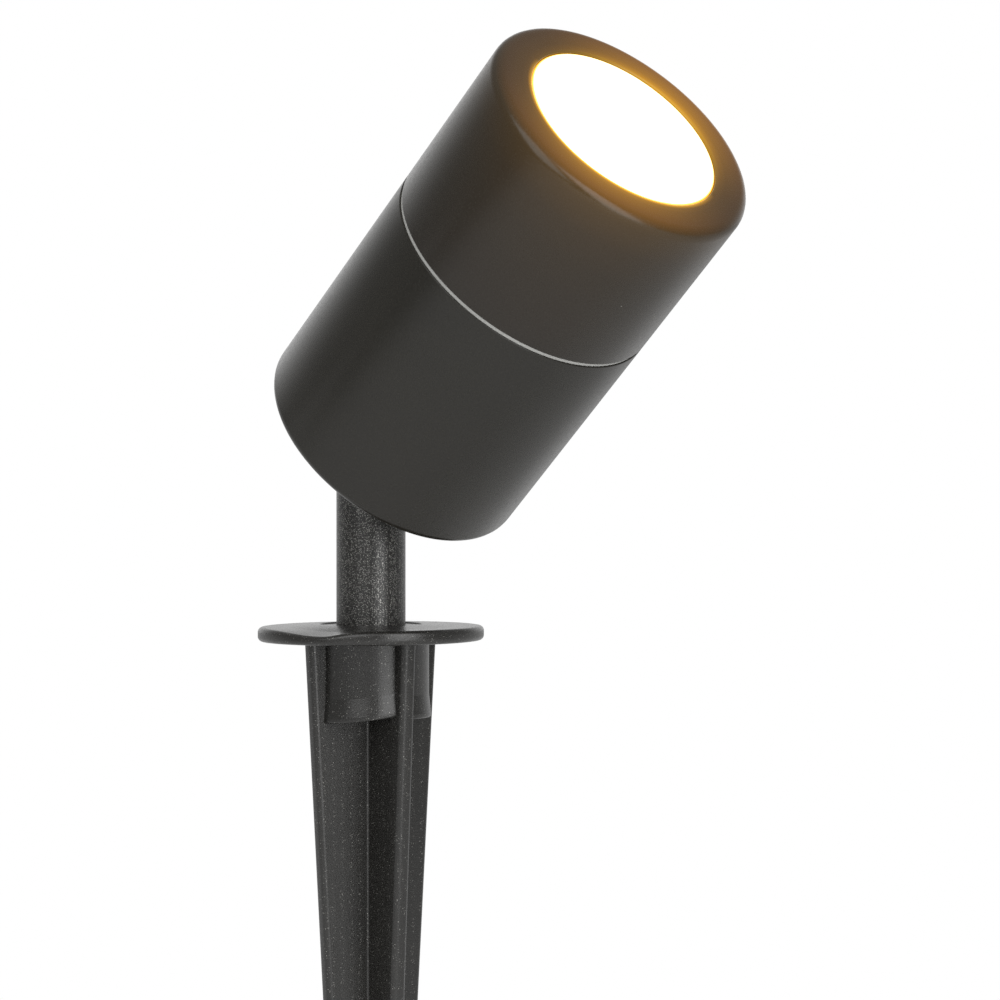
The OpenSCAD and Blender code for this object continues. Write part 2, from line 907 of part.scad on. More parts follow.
// A lead that leaves the terminal block along X and bends up into the lamp holder
module lead(side) {
    start_x = block_x - lead_grip;
    translate([0, side * pin_at, 0]) {
        translate([start_x, 0, lead_run])
            rotate([0, 90, 0])
                cylinder(r = lead_r, h = -lead_bend_r - start_x);
        translate([-lead_bend_r, 0, lead_run + lead_bend_r])
            rotate([90, 0, 0])
                rotate([0, 0, -90])
                    rotate_extrude(angle = 90)
                        translate([lead_bend_r, 0])
                            circle(r = lead_r);
        translate([0, 0, lead_run + lead_bend_r])
            cylinder(r = lead_r, h = lead_top - lead_run - lead_bend_r);
    }
}

module live_lead() {
    color("#7a4a2a")
        at_head()
            lead(1);
}

module neutral_lead() {
    color("#2f5f9e")
        at_head()
            lead(-1);
}

module earth_tag() {
    color(brass)
        at_head()
            translate([earth_at[0], earth_at[1], rear_wall + earth_boss_h + seat_gap])
                difference() {
                    union() {
                        cylinder(r = earth_r + boss_wall, h = tag_t);
                        translate([-tag_len, -tag_w / 2, 0])
                            cube([tag_len, tag_w, tag_t]);
                        translate([-tag_len, 0, tag_w / 2])
                            rotate([0, 90, 0])
                                cylinder(r = tag_w / 2, h = crimp_len);
                    }
                    translate([0, 0, -eps])
                        cylinder(r = earth_r + running_gap, h = tag_t + 2 * eps);
                }
}

module earth_screw() {
    color(bright_steel)
        at_head()
            translate([earth_at[0], earth_at[1], rear_wall + earth_boss_h + tag_t + 2 * seat_gap])
                cap_screw(earth_r, earth_boss_h + tag_t, earth_r * screw_head_ratio, earth_head_h);
}

// The lamp's outer form, or the form inside its wall when an inset is given
module lamp_form(inset) {
    translate([0, 0, lamp_low + inset])
        cylinder(r = lamp_base_r - inset, h = lamp_base_h);
    translate([0, 0, cone_low + inset])
        cylinder(r1 = cone_foot_r - inset, r2 = lamp_r - inset, h = cone_top - cone_low - inset);
    translate([0, 0, cone_top])
        cylinder(r = lamp_r - inset, h = lamp_rim_h);
}

// Radius inside the lamp's cone at a height
function cone_inside(z) =
    cone_foot_r - lamp_wall
    + (lamp_r - cone_foot_r) * (z - cone_low - lamp_wall) / (cone_top - cone_low - lamp_wall);

module lamp_shell() {
    color(lamp_white)
        at_head()
            difference() {
                lamp_form(0);
                lamp_form(lamp_wall);
                translate([0, 0, cone_top])
                    cylinder(r = lamp_r - lamp_wall, h = lamp_rim_h + eps);
                at_pins()
                    translate([pin_at, 0, lamp_low - eps])
                        cylinder(r = pin_neck_r + seat_gap, h = lamp_wall + 2 * eps);
            }
}

module lamp_pins() {
    color(brass)
        at_head()
            at_pins()
                translate([pin_at, 0, pin_tip]) {
                    cylinder(r = pin_head_r, h = pin_head_h);
                    cylinder(r = pin_neck_r, h = pin_len + lamp_wall + pin_tail);
                    translate([0, 0, pin_len + lamp_wall + seat_gap])
                        cylinder(r = pin_neck_r + pin_collar, h = pin_collar_h);
                }
}

module lamp_cover() {
    color(opal)
        at_head()
            translate([0, 0, lamp_top - drop_gap - cover_t])
                cylinder(r = lamp_r - lamp_wall - drop_gap, h = cover_t);
}

module led_board() {
    color(lamp_white)
        at_head()
            translate([0, 0, led_board_low])
                difference() {
                    cylinder(r = cone_inside(led_board_low) - drop_gap, h = board_t);
                    front_and_back(driver_lead_at)
                        translate([driver_x + driver_t / 2 + driver_lead_r, 0, -eps])
                            cylinder(r = driver_lead_r + seat_gap, h = board_t + 2 * eps);
                }
}

module led_chips() {
    color(opal)
        at_head()
            translate([0, 0, led_board_low + board_t + seat_gap]) {
                for (index = [0:chip_count - 1])
                    rotate([0, 0, index * 360 / chip_count])
                        translate([chip_ring_r - chip_w / 2, -chip_w / 2, 0])
                            cube([chip_w, chip_w, chip_h]);
                translate([-chip_w / 2, -chip_w / 2, 0])
                    cube([chip_w, chip_w, chip_h]);
            }
}

module driver_board() {
    color("#2d6b45")
        at_head()
            translate([driver_x - driver_t / 2, -driver_w / 2, driver_low])
                cube([driver_t, driver_w, driver_h]);
}

module driver_parts() {
    face_x = driver_x - driver_t / 2 - seat_gap;
    color(seal_black)
        at_head() {
            translate([face_x - capacitor_r, 0, driver_low + driver_h - capacitor_lap])
                cylinder(r = capacitor_r, h = capacitor_h);
            translate([face_x - choke_size[0], -choke_size[1] / 2, driver_low + choke_rise])
                cube(choke_size);
        }
}

module driver_leads() {
    lead_low = driver_low + driver_h - driver_lead_lap;
    color("#b03028")
        at_head()
            front_and_back(driver_lead_at)
                translate([driver_x + driver_t / 2 + driver_lead_r, 0, lead_low])
                    cylinder(r = driver_lead_r, h = led_board_low + board_t + chip_h / 2 - lead_low);
}

module lens_glass() {
    color(opal)
        at_head() {
            translate([0, 0, lens_low])
                cylinder(r = lens_r, h = lens_t);
            translate([0, 0, lens_low])
                cylinder(r = aperture_r - lens_fit, h = lens_face - lens_low);
        }
}

module lens_gasket() {
    color(seal_black)
        at_head()
            translate([0, 0, lens_gasket_low])
                ring(lens_r, aperture_r + drop_gap, lens_gasket_t);
}

module bezel() {
    color(powder_black)
        at_head()
            difference() {
                translate([0, 0, head_len])
                    rotate([180, 0, 0])
                        round_foot_disc(head_r, front_edge_r, head_len - seam_high);
                translate([0, 0, seam_high - eps])
                    cylinder(r = thread_r, h = spigot_top + thread_relief - seam_high + eps);
                translate([0, 0, seam_high - eps])
                    cylinder(r = bezel_bore_r, h = lip_low - seam_high + eps);
                translate([0, 0, lip_low - eps])
                    cylinder(r = aperture_r, h = lip_t + 2 * eps);
            }
}

module keeper_ring() {
    color(powder_black)
        at_head()
            translate([0, 0, keeper_low])
                difference() {
                    ring(bezel_bore_r - running_gap, bezel_bore_r - keeper_w, keeper_t);
                    both_sides(bezel_bore_r - keeper_w)
                        translate([-notch_w / 2, -notch_w / 2, -eps])
                            cube([notch_w, notch_w, notch_depth + eps]);
                }
}

ground_spike();
stem();
foot_rings();
hinge_bolt();
hinge_nut();
hinge_washers();
knuckle();
knuckle_screws();
rear_housing();
body_gasket();
gland_body();
gland_locknut();
gland_seal();
gland_cap();
holder_bracket();
bracket_screws();
lamp_holder();
holder_contacts();
holder_screws();
terminal_block();
terminal_sleeves();
terminal_screws();
live_lead();
neutral_lead();
earth_tag();
earth_screw();
lamp_shell();
lamp_pins();
lamp_cover();
led_board();
led_chips();
driver_board();
driver_parts();
driver_leads();
lens_glass();
lens_gasket();
bezel();
keeper_ring();
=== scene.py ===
"""Looks of a garden spotlight on a ground spike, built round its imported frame, and its studio.

Lengths are in metres and the frame is the model's own: Z is up, and the origin is on the stem's axis at
ground level. The head's frame has its origin at the middle of the rear face and its Z along the beam.
"""
import json
import math

import bmesh
import bpy
import numpy as np
from bpy.props import FloatProperty, FloatVectorProperty, IntProperty, PointerProperty
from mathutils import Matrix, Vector


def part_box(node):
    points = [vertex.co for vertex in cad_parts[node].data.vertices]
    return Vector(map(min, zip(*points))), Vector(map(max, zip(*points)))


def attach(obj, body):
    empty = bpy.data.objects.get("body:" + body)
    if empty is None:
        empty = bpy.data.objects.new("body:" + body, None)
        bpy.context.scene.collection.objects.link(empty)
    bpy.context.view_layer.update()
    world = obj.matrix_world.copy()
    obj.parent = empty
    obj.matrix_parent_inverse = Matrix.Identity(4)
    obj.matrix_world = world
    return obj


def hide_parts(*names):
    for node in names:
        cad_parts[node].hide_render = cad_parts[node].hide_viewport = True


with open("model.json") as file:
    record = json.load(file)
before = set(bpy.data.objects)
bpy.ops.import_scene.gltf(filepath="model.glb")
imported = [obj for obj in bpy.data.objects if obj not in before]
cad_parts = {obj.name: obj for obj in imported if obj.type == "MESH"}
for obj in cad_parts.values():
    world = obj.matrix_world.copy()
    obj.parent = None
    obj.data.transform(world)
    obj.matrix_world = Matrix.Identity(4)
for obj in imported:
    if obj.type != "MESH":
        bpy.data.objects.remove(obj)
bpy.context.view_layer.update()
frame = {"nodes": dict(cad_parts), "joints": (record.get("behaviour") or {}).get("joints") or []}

bl_info = {
    "name": "Garden spotlight",
    "version": (1, 0, 0),
    "blender": (4, 5, 0),
    "location": "View3D > Sidebar > Spotlight",
    "description": "Builds the looks of a spiked garden spotlight and its studio",
    "category": "Object",
}

JOINTS = {joint["name"]: joint for joint in frame["joints"]}
MM = 0.001
BEAM = Vector(JOINTS["lamp_twist"]["axis"]).normalized()
HEAD_ORIGIN = Vector(JOINTS["lamp_twist"]["pos_m"])
HEAD_SIDE = Vector(JOINTS["head_tilt"]["axis"]).normalized()
HEAD_TILT = math.atan2(-BEAM.y, BEAM.z)
HEAD_TURN = np.array([HEAD_SIDE, BEAM.cross(HEAD_SIDE), BEAM]).T

# Radii and heights of the head, in its own frame, in millimetres
HEAD_R = 30.0
HEAD_LEN = 93.8
SEAM_LOW = 55.3
SEAM_HIGH = 56.1
THREAD_PITCH = 2.0
THREAD_R = 28.0
THREAD_TOP = 66.1
SPIGOT_R = 27.9
SPIGOT_TOP = 64.9
SPIGOT_EDGE = 0.4
THROAT_R = 25.7
BORE_R = 26.2
APERTURE_R = 21.7
LENS_R = 21.58
LENS_FACE = 93.5
GLAND_OUT = 18.0

# Radii and heights of the spike in millimetres, and the turn of its fins in degrees
FLANGE_R = 24.5
FLANGE_T = 3.1
SOCKET_R = 11.1
SOCKET_LOW = -13.4
COLLAR_R = 12.6
LIP_R = 13.0
FIN_TURN = -9

# Azimuth of the photograph's camera in degrees, and the level direction that leads away from it
PHOTO_SIDE = 227
AWAY = (0.68, 0.73, 0)


def linear(code):
    """sRGB hex code to linear red, green and blue, by the sRGB curve."""
    channels = [int(code[i:i + 2], 16) / 255 for i in (1, 3, 5)]
    return tuple(c / 12.92 if c <= 0.04045 else ((c + 0.055) / 1.055) ** 2.4 for c in channels)


def per(size_mm):
    """Scale of a pattern, in repeats a metre, whose features are this many millimetres apart."""
    return 1 / (size_mm * MM)


def colour(code, name, description):
    """A colour setting whose default is an sRGB hex code."""
    return FloatVectorProperty(name=name, description=description, default=linear(code), size=3, min=0,
                               max=1, subtype="COLOR")


def length(size_mm, name, description):
    """A length setting whose default is in millimetres."""
    return FloatProperty(name=name, description=description, default=size_mm * MM, min=0, precision=5,
                         subtype="DISTANCE", unit="LENGTH")


class SpotShape(bpy.types.PropertyGroup):
    """Small forms of the light that the frame leaves plain."""

    front_edge: length(2.5, "Front edge", "Radius of the bezel's front edge")
    rear_edge: length(2.0, "Rear edge", "Radius of the housing's rear edge")
    thread_depth: length(0.55, "Thread depth", "Depth of the bezel's thread")
    flange_warp: length(0.15, "Flange warp", "How far the moulded flange has warped at its rim")
    flange_sink: length(1.1, "Flange sink", "Depth of the sunk stretch of the flange's rim")
    root_fillet: length(0.45, "Root fillet", "Radius in the corners where the fins meet")
    grip_ribs: IntProperty(name="Grip ribs", description="Number of ribs on the gland's cap", default=16,
                           min=6, max=40)


class SpotFinish(bpy.types.PropertyGroup):
    """Colours and gloss of the light's outer surfaces."""

    coat: colour("#24221d", "Coat", "Colour of the powder coat on the head")
    coat_roughness: FloatProperty(name="Coat roughness", description="Roughness of the powder coat",
                                  default=0.25, min=0, max=1, subtype="FACTOR")
    casting: colour("#1b1a18", "Casting", "Colour of the grained paint on the stem and knuckle")
    nylon: colour("#232220", "Nylon", "Colour of the moulded spike")
    seam: colour("#b4b4b0", "Seam", "Colour of the silicone ring in the seam")
    speck: colour("#b4b3ad", "Specks", "Colour of the pale specks in the finish")
    flake: colour("#d6d5cf", "Flakes", "Colour of the bright flakes in the stem's paint")
    lit: FloatProperty(name="Lit lens", description="Strength of the lens's own light", default=1.1, min=0)
    # The glow setting is the strength of painted light: amber emission on the bezel round the lens, though
    # the bezel is no lamp
    painted_glow: FloatProperty(name="Glow", description="Strength of the amber light that the lens's rim spreads",
                        default=1.0, min=0)


class SpotStudio(bpy.types.PropertyGroup):
    """Levels of the studio's light."""

    right: FloatProperty(name="Right", description="Power of the softbox at the camera's right",
                         default=6.8, min=0, unit="POWER")
    left: FloatProperty(name="Left", description="Power of the softbox at the camera's left",
                        default=5.0, min=0, unit="POWER")
    top: FloatProperty(name="Top", description="Power of the softbox overhead", default=12.0, min=0,
                       unit="POWER")
    room: FloatProperty(name="Room", description="Strength of the room's own light", default=0.25, min=0)
    wall: FloatProperty(name="Walls", description="Strength of the walls that gloss reflects",
                        default=0.28, min=0)
    ceiling: FloatProperty(name="Ceiling", description="Strength of the ceiling that gloss reflects",
                           default=0.32, min=0)
    drop: length(2, "Drop", "Gap between the spike's tip and the floor")


def put(tree, kind, inputs=None, stops=None, **settings):
    """Adds a node with its settings, its inputs as values or links, and the stops of its ramp."""
    node = tree.nodes.new(kind)
    for name, value in settings.items():
        setattr(node, name, value)
    for socket, value in (inputs or {}).items():
        if isinstance(value, bpy.types.NodeSocket):
            tree.links.new(value, node.inputs[socket])
        else:
            node.inputs[socket].default_value = value
    for index, (place, shade) in enumerate(stops or ()):
        ramp = node.color_ramp.elements
        element = ramp[index] if index < 2 else ramp.new(place)
        element.position = place
        element.color = (*shade, 1) if len(shade) == 3 else shade
    return node


def blank(name):
    """An empty material and its node tree."""
    material = bpy.data.materials.new(name)
    material.use_nodes = True
    material.node_tree.nodes.clear()
    return material, material.node_tree


def speckled(tree, place, share, size, gap):
    """How far each point lies in a pale speck, from 0 to 1.

    A speck lies round its cell's point, and its edge is soft between 0.4 and 0.6 of its size. Each cell
    draws its own number, and the cells above the share hold a speck of that strength.
    """
    cells = put(tree, "ShaderNodeTexVoronoi", {"Vector": place, "Scale": per(gap)}).outputs
    drawn = put(tree, "ShaderNodeMapRange", {"Value": cells["Color"], "From Min": 1 - share,
                                             "From Max": 1.0, "To Min": 0.0, "To Max": 1.0}).outputs[0]
    near = put(tree, "ShaderNodeMapRange", {"Value": cells["Distance"], "From Min": 0.6 * size / gap,
                                            "From Max": 0.4 * size / gap}).outputs[0]
    return put(tree, "ShaderNodeMath", {0: drawn, 1: near}, operation="MULTIPLY").outputs[0]


def surface(name, base, roughness, metallic=0.0, grain=0.6, height=0.02, mottle=0.06, patch=18.0,
            specks=0.0, speck_size=0.2, speck_gap=0.4, speck_colour=(0.4, 0.4, 0.4), flake=0.0,
            rough_spread=0.06, gloss=0.5, painted_glow=None):
    """A finish with slow mottling of its colour, fine grain as bump, and pale specks.

    grain, patch, speck_size and speck_gap are in millimetres, and so is height, the depth of the grain. A
    pixel is 0.2 mm wide, so grain and specks that are finer in the real finish are drawn about that coarse.
    specks is the share of places that hold one, and flake is how far a speck shines like metal.
    """
    material, tree = blank(name)
    place = put(tree, "ShaderNodeTexCoord").outputs["Object"]
    slow = put(tree, "ShaderNodeTexNoise", {"Vector": place, "Scale": per(patch), "Detail": 3.0}
               ).outputs["Fac"]
    fine = put(tree, "ShaderNodeTexNoise", {"Vector": place, "Scale": per(grain), "Detail": 2.0,
                                            "Roughness": 0.55}).outputs["Fac"]
    dark = tuple(c * (1 - mottle) for c in base)
    light = tuple(min(1.0, c * (1 + mottle)) for c in base)
    tone = put(tree, "ShaderNodeValToRGB", {"Fac": slow}, stops=[(0.3, dark), (0.7, light)]
               ).outputs["Color"]
    shine = metallic
    if specks:
        speck = speckled(tree, place, specks, speck_size, speck_gap)
        tone = put(tree, "ShaderNodeMix", {0: speck, 6: tone, 7: (*speck_colour, 1)}, data_type="RGBA"
                   ).outputs[2]
        if flake:
            shine = put(tree, "ShaderNodeMath", {0: speck, 1: flake}, operation="MULTIPLY").outputs[0]
    rough = put(tree, "ShaderNodeMapRange", {"Value": fine, "From Min": 0.25, "From Max": 0.75,
                                             "To Min": roughness - rough_spread,
                                             "To Max": roughness + rough_spread}).outputs[0]
    bump = put(tree, "ShaderNodeBump", {"Height": fine, "Strength": 1.0, "Distance": height * MM}
               ).outputs[0]
    shader = put(tree, "ShaderNodeBsdfPrincipled", {"Base Color": tone, "Roughness": rough, "Normal": bump,
                                                    "Metallic": shine, "IOR": 1.5,
                                                    "Specular IOR Level": gloss})
    # Painted light: the glow step adds emission that paints a glow onto this surface
    if painted_glow:
        painted_glow(tree, place, shader)
    put(tree, "ShaderNodeOutputMaterial", {"Surface": shader.outputs[0]})
    return material


def beam_place(tree, place):
    """Each point's place across the beam, its height along it and its distance from it."""
    turned_place = put(tree, "ShaderNodeMapping", {"Vector": place, "Location": HEAD_ORIGIN,
                                                   "Rotation": (HEAD_TILT, 0, 0)}, vector_type="TEXTURE")
    parts = put(tree, "ShaderNodeSeparateXYZ", {0: turned_place.outputs[0]}).outputs
    flat = put(tree, "ShaderNodeCombineXYZ", {0: parts[0], 1: parts[1]}).outputs[0]
    radius = put(tree, "ShaderNodeVectorMath", {0: flat}, operation="LENGTH").outputs["Value"]
    return flat, parts[2], radius


def painted_rim_glow(strength, edge_r):
    """Returns a step that paints an amber glow, as emission, onto a shader on the bezel.

    On the face the painted glow fades with the distance from the lens's rim, and over the rounded edge with
    the height. Down the side a weaker painted glow fades with the distance from the face. Round the beam it
    is a base plus three lobes, each a share times a power of the cosine of the angle from the lobe's
    middle.
    The third lobe is wide, and its share falls to nothing over the millimetre from close_r to far_r. All of
    it is painted light, since the bezel is no lamp.
    """
    base = 0.19
    close_share, close_r, far_r = 1.1, 21.9, 22.9
    face_reach, side_reach = 8.4, 60.0
    # Each stop is a distance in millimetres and a linear colour
    face = [(0.0, 0.8, 0.4, 0.01), (0.9, 0.54, 0.235, 0.0), (2.4, 0.37, 0.155, 0.0), (5.4, 0.26, 0.10, 0.0),
            (face_reach, 0.18, 0.07, 0.0)]
    side = [(0.0, 0.09, 0.042, 0.0), (2.8, 0.06, 0.028, 0.0), (8.8, 0.03, 0.0135, 0.0),
            (15.8, 0.017, 0.0075, 0.0), (23.8, 0.011, 0.0045, 0.0), (38.0, 0.005, 0.0015, 0.0),
            (side_reach, 0.0, 0.0, 0.0)]

    def add(tree, place, shader):
        flat, height, radius = beam_place(tree, place)
        across = put(tree, "ShaderNodeMapRange", {"Value": radius, "From Min": LENS_R * MM,
                                                  "From Max": (LENS_R + face_reach) * MM}).outputs[0]
        along = put(tree, "ShaderNodeMapRange", {"Value": height, "From Min": HEAD_LEN * MM,
                                                 "From Max": (HEAD_LEN - side_reach) * MM}).outputs[0]
        up = put(tree, "ShaderNodeMapRange", {"Value": height, "From Min": HEAD_LEN * MM - 0.45 * edge_r,
                                              "From Max": HEAD_LEN * MM}).outputs[0]
        on_face = put(tree, "ShaderNodeValToRGB", {"Fac": across},
                      stops=[(stop[0] / face_reach, stop[1:]) for stop in face]).outputs["Color"]
        on_side = put(tree, "ShaderNodeValToRGB", {"Fac": along},
                      stops=[(stop[0] / side_reach, stop[1:]) for stop in side]).outputs["Color"]
        amber = put(tree, "ShaderNodeMix", {0: up, 6: on_side, 7: on_face}, data_type="RGBA").outputs[2]
        ray = put(tree, "ShaderNodeVectorMath", {0: flat}, operation="NORMALIZE").outputs["Vector"]
        close = put(tree, "ShaderNodeMapRange", {"Value": radius, "From Min": far_r * MM,
                                                 "From Max": close_r * MM, "To Max": close_share},
                    interpolation_type="SMOOTHSTEP").outputs[0]
        total = base
        for degrees, share, power in ((28, 0.82, 2.6), (224, 0.64, 2.6), (215, close, 0.6)):
            turn = math.radians(degrees)
            facing = put(tree, "ShaderNodeVectorMath", {0: ray, 1: (math.cos(turn), math.sin(turn), 0)},
                         operation="DOT_PRODUCT").outputs["Value"]
            facing = put(tree, "ShaderNodeMath", {0: facing, 1: 0.0}, operation="MAXIMUM").outputs[0]
            facing = put(tree, "ShaderNodeMath", {0: facing, 1: power}, operation="POWER").outputs[0]
            total = put(tree, "ShaderNodeMath", {0: facing, 1: share, 2: total},
                        operation="MULTIPLY_ADD").outputs[0]
        total = put(tree, "ShaderNodeMath", {0: total, 1: strength}, operation="MULTIPLY").outputs[0]
        tree.links.new(amber, shader.inputs["Emission Color"])
        tree.links.new(total, shader.inputs["Emission Strength"])
    return add


def unit(vectors):
    """Vectors of length one, by dividing each by its length."""
    return vectors / np.maximum(np.linalg.norm(vectors, axis=-1, keepdims=True), 1e-12)


def rounded(corners, steps=6):
    """Outline through corners (across, up, radius), each drawn as an arc that touches both of its sides.

    The arc's centre lies on the corner's bisector, radius / sin(half the corner) away, and its points turn
    evenly from one touching point to the other.
    """
    given = np.array(corners, float)
    at, radius = given[:, :2], given[:, 2:]
    back, ahead = unit(np.roll(at, 1, 0) - at), unit(np.roll(at, -1, 0) - at)
    half = np.arccos(np.clip((back * ahead).sum(1, keepdims=True), -1, 1)) / 2
    centre = at + unit(back + ahead) * radius / np.sin(half)
    reach = radius / np.tan(half)
    turn = np.pi - 2 * half
    share = np.linspace(0, 1, steps + 1)
    whole = np.maximum(np.sin(turn), 1e-9)
    leave, meet = np.sin((1 - share) * turn) / whole, np.sin(share * turn) / whole
    points = (centre[:, None] + (at + back * reach - centre)[:, None] * leave[..., None]
              + (at + ahead * reach - centre)[:, None] * meet[..., None])
    points = np.where(radius[:, None] > 0, points, at[:, None]).reshape(-1, 2)
    moved = np.abs(points - np.roll(points, 1, 0)).max(1) > 1e-6
    return points[moved]


def turned(outline, columns=192):
    """Surface of revolution: each point (r, z) of the outline becomes the ring (r cos a, r sin a, z)."""
    angle = np.linspace(0, 2 * np.pi, columns, endpoint=False)
    across, up = outline[:, :1], outline[:, 1:]
    return np.stack([across * np.cos(angle), across * np.sin(angle), up + 0 * angle], axis=-1)


def ridge(turns):
    """Flat-topped thread, 0 to 1: a triangle wave of one peak a turn, doubled, less a half and cut off."""
    wave = 1 - np.abs(2 * (turns % 1) - 1)
    return np.clip(2 * wave - 0.5, 0, 1)


def threaded(grid, radius, depth, low, high):
    """Cuts a right-handed thread into the rows of a grid that lie on a radius, or on the edge next to it.

    A point at height z and angle a sinks by the ridge at z / pitch - a / 360 degrees, and the depth fades
    to nothing over the first and last millimetre between the two heights.
    """
    across = np.hypot(grid[..., 0], grid[..., 1])
    angle = np.arctan2(grid[..., 1], grid[..., 0])
    fade = np.clip(grid[..., 2] - low, 0, 1) * np.clip(high - grid[..., 2], 0, 1)
    sink = depth * fade * ridge(grid[..., 2] / THREAD_PITCH - angle / (2 * np.pi))
    scale = np.where(np.abs(across - radius) < SPIGOT_EDGE + 0.01, 1 - sink / radius, 1)
    return grid * np.stack([scale, scale, np.ones_like(scale)], axis=-1)


def heights(low, high, step=0.2):
    """Evenly spaced heights from one to the other, for rows of points that a pattern is cut into."""
    return np.linspace(low, high, round(abs(high - low) / step) + 1)


def skin(grid, closed):
    """Points and quads of a grid whose columns join round, and whose rows do too where it is closed."""
    rows, columns = grid.shape[:2]
    index = np.arange(rows * columns).reshape(rows, columns)
    if closed:
        index = np.vstack([index, index[:1]])
    low, high = index[:-1], index[1:]
    quads = np.stack([low, np.roll(low, -1, 1), np.roll(high, -1, 1), high], axis=-1)
    return grid.reshape(-1, 3), quads.reshape(-1, 4)


def make(name, shells, finish, body, node, in_beam=True):
    """Piece made of closed shells, each a grid in millimetres and whether its rows join round.

    Doubled points at seams and poles are merged, and the faces turned outwards. Edges that turn by more
    than 40 degrees stay sharp.
    """
    points, quads, count = [], [], 0
    for grid, closed in shells:
        spots, faces = skin(grid, closed)
        points.append(spots)
        quads.append(faces + count)
        count += len(spots)
    spots = np.vstack(points) * MM
    if in_beam:
        spots = spots @ HEAD_TURN.T + np.array(HEAD_ORIGIN)
    mesh = bpy.data.meshes.new(name)
    mesh.from_pydata(spots.tolist(), [], np.vstack(quads).tolist())
    shape = bmesh.new()
    shape.from_mesh(mesh)
    bmesh.ops.remove_doubles(shape, verts=shape.verts, dist=MM / 1000)
    bmesh.ops.recalc_face_normals(shape, faces=shape.faces)
    shape.to_mesh(mesh)
    shape.free()
    mesh.shade_smooth()
    mesh.set_sharp_from_angle(angle=math.radians(40))
    mesh.materials.append(finish)
    piece = bpy.data.objects.new(name, mesh)
    bpy.context.scene.collection.objects.link(piece)
    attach(piece, body)
    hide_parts(node)


def coat_finish(name, painted_glow=None):
    """Matt black polyester powder coat, baked on cast aluminium.

    The eye gets an almost black skin with a satin gloss, a fine orange peel and a few pale dust specks,
    which are drawn coarser than real dust so that they show.
    """
    look = bpy.context.scene.spot_finish
    # A glow step, when given, paints amber light onto the coat as emission
    return surface(name, tuple(look.coat), look.coat_roughness, gloss=0.42, grain=0.7, height=0.005,
                   specks=0.02, speck_size=0.25, speck_gap=1.2, speck_colour=tuple(look.speck), painted_glow=painted_glow)


def nylon_finish():
    """Glass-filled nylon, injection moulded in a spark-eroded mould.

    The eye gets a dull black with a dense fine grain, pale fibre specks and faint scuffs. The fibre ends
    are drawn a pixel wide, far coarser than real ones, so that they show.
    """
    look = bpy.context.scene.spot_finish
    return surface("moulded_nylon", tuple(look.nylon), 0.27, grain=0.3, height=0.028, patch=9, mottle=0.12,
                   specks=0.38, speck_size=0.18, speck_gap=0.35, speck_colour=tuple(look.speck), flake=0.62,
                   rough_spread=0.08, gloss=0.65)


def casting_finish():
    """Textured paint with metal flakes on die-cast zinc alloy.

    The eye gets a black grain that glints where it faces a lamp. The flakes are drawn a pixel wide, coarser
    than real ones, so that they show.
    """
    look = bpy.context.scene.spot_finish
    return surface("grain_painted_die_casting", tuple(look.casting), 0.31, grain=0.3, height=0.04,
                   specks=0.75, speck_size=0.16, speck_gap=0.225, speck_colour=tuple(look.flake), flake=1.0,
                   gloss=0.6)


def gland_finish(name):
    """Nylon, moulded in a fine-grained mould: the eye gets a dark grey with a dull sheen."""
    return surface(name, linear("#242424"), 0.42, grain=0.5, height=0.01)


def glass_finish(strength):
    """Frosted borosilicate glass, lit from behind.

    The eye gets plain white up to the rim, where light that leaks past the glass turns amber.
    """
    rim_from = 20.6
    material, tree = blank("lit_frosted_glass")
    place = put(tree, "ShaderNodeTexCoord").outputs["Object"]
    radius = beam_place(tree, place)[2]
    edge = put(tree, "ShaderNodeMapRange", {"Value": radius, "From Min": rim_from * MM,
                                            "From Max": LENS_R * MM}).outputs[0]
    tint = put(tree, "ShaderNodeValToRGB", {"Fac": edge},
               stops=[(0.0, linear("#f4f6f4")), (0.5, (0.9, 0.84, 0.6)), (0.75, (0.9, 0.55, 0.1)),
                      (1.0, (0.8, 0.3, 0.01))]).outputs["Color"]
    frost = put(tree, "ShaderNodeTexNoise", {"Vector": place, "Scale": per(0.5)}).outputs["Fac"]
    rough = put(tree, "ShaderNodeMapRange", {"Value": frost, "To Min": 0.3, "To Max": 0.5}).outputs[0]
    shader = put(tree, "ShaderNodeBsdfPrincipled", {"Base Color": tint, "Roughness": rough,
                                                    "Emission Color": tint, "Emission Strength": strength})
    put(tree, "ShaderNodeOutputMaterial", {"Surface": shader.outputs[0]})
    return material


class SPOT_OT_bezel(bpy.types.Operator):
    """Model the bezel with its rounded face and its thread"""

    bl_idname = "spot.bezel"
    bl_label = "Bezel"

    def execute(self, context):
        form = context.scene.spot_shape
        rim_back = HEAD_LEN - 3
        # A turned outline with a thread cut into its bore, as far in as the spigot reaches
        thread = [(THREAD_R, z, 0) for z in heights(SEAM_HIGH + 0.4, THREAD_TOP - 0.4)]
        outline = rounded([
            (APERTURE_R, HEAD_LEN, 0.35), (HEAD_R, HEAD_LEN, form.front_edge / MM),
            (HEAD_R, SEAM_HIGH, 0.25), (THREAD_R, SEAM_HIGH, 0.15), *thread, (THREAD_R, THREAD_TOP, 0.1),
            (BORE_R, THREAD_TOP, 0.15), (BORE_R, rim_back, 0.2), (APERTURE_R, rim_back, 0.15)])
        grid = threaded(turned(outline), THREAD_R, form.thread_depth / MM, SEAM_HIGH + 0.5,
                        SPIGOT_TOP - 0.5)
        # Painted glow: amber emission on the bezel's face and side round the lens, on top of the powder
        # coat
        painted_glow = painted_rim_glow(context.scene.spot_finish.painted_glow, form.front_edge)
        finish = coat_finish("powder_coat_with_painted_glow", painted_glow)
        make("bezel_shell", [(grid, True)], finish, "bezel", "bezel")
        return {"FINISHED"}


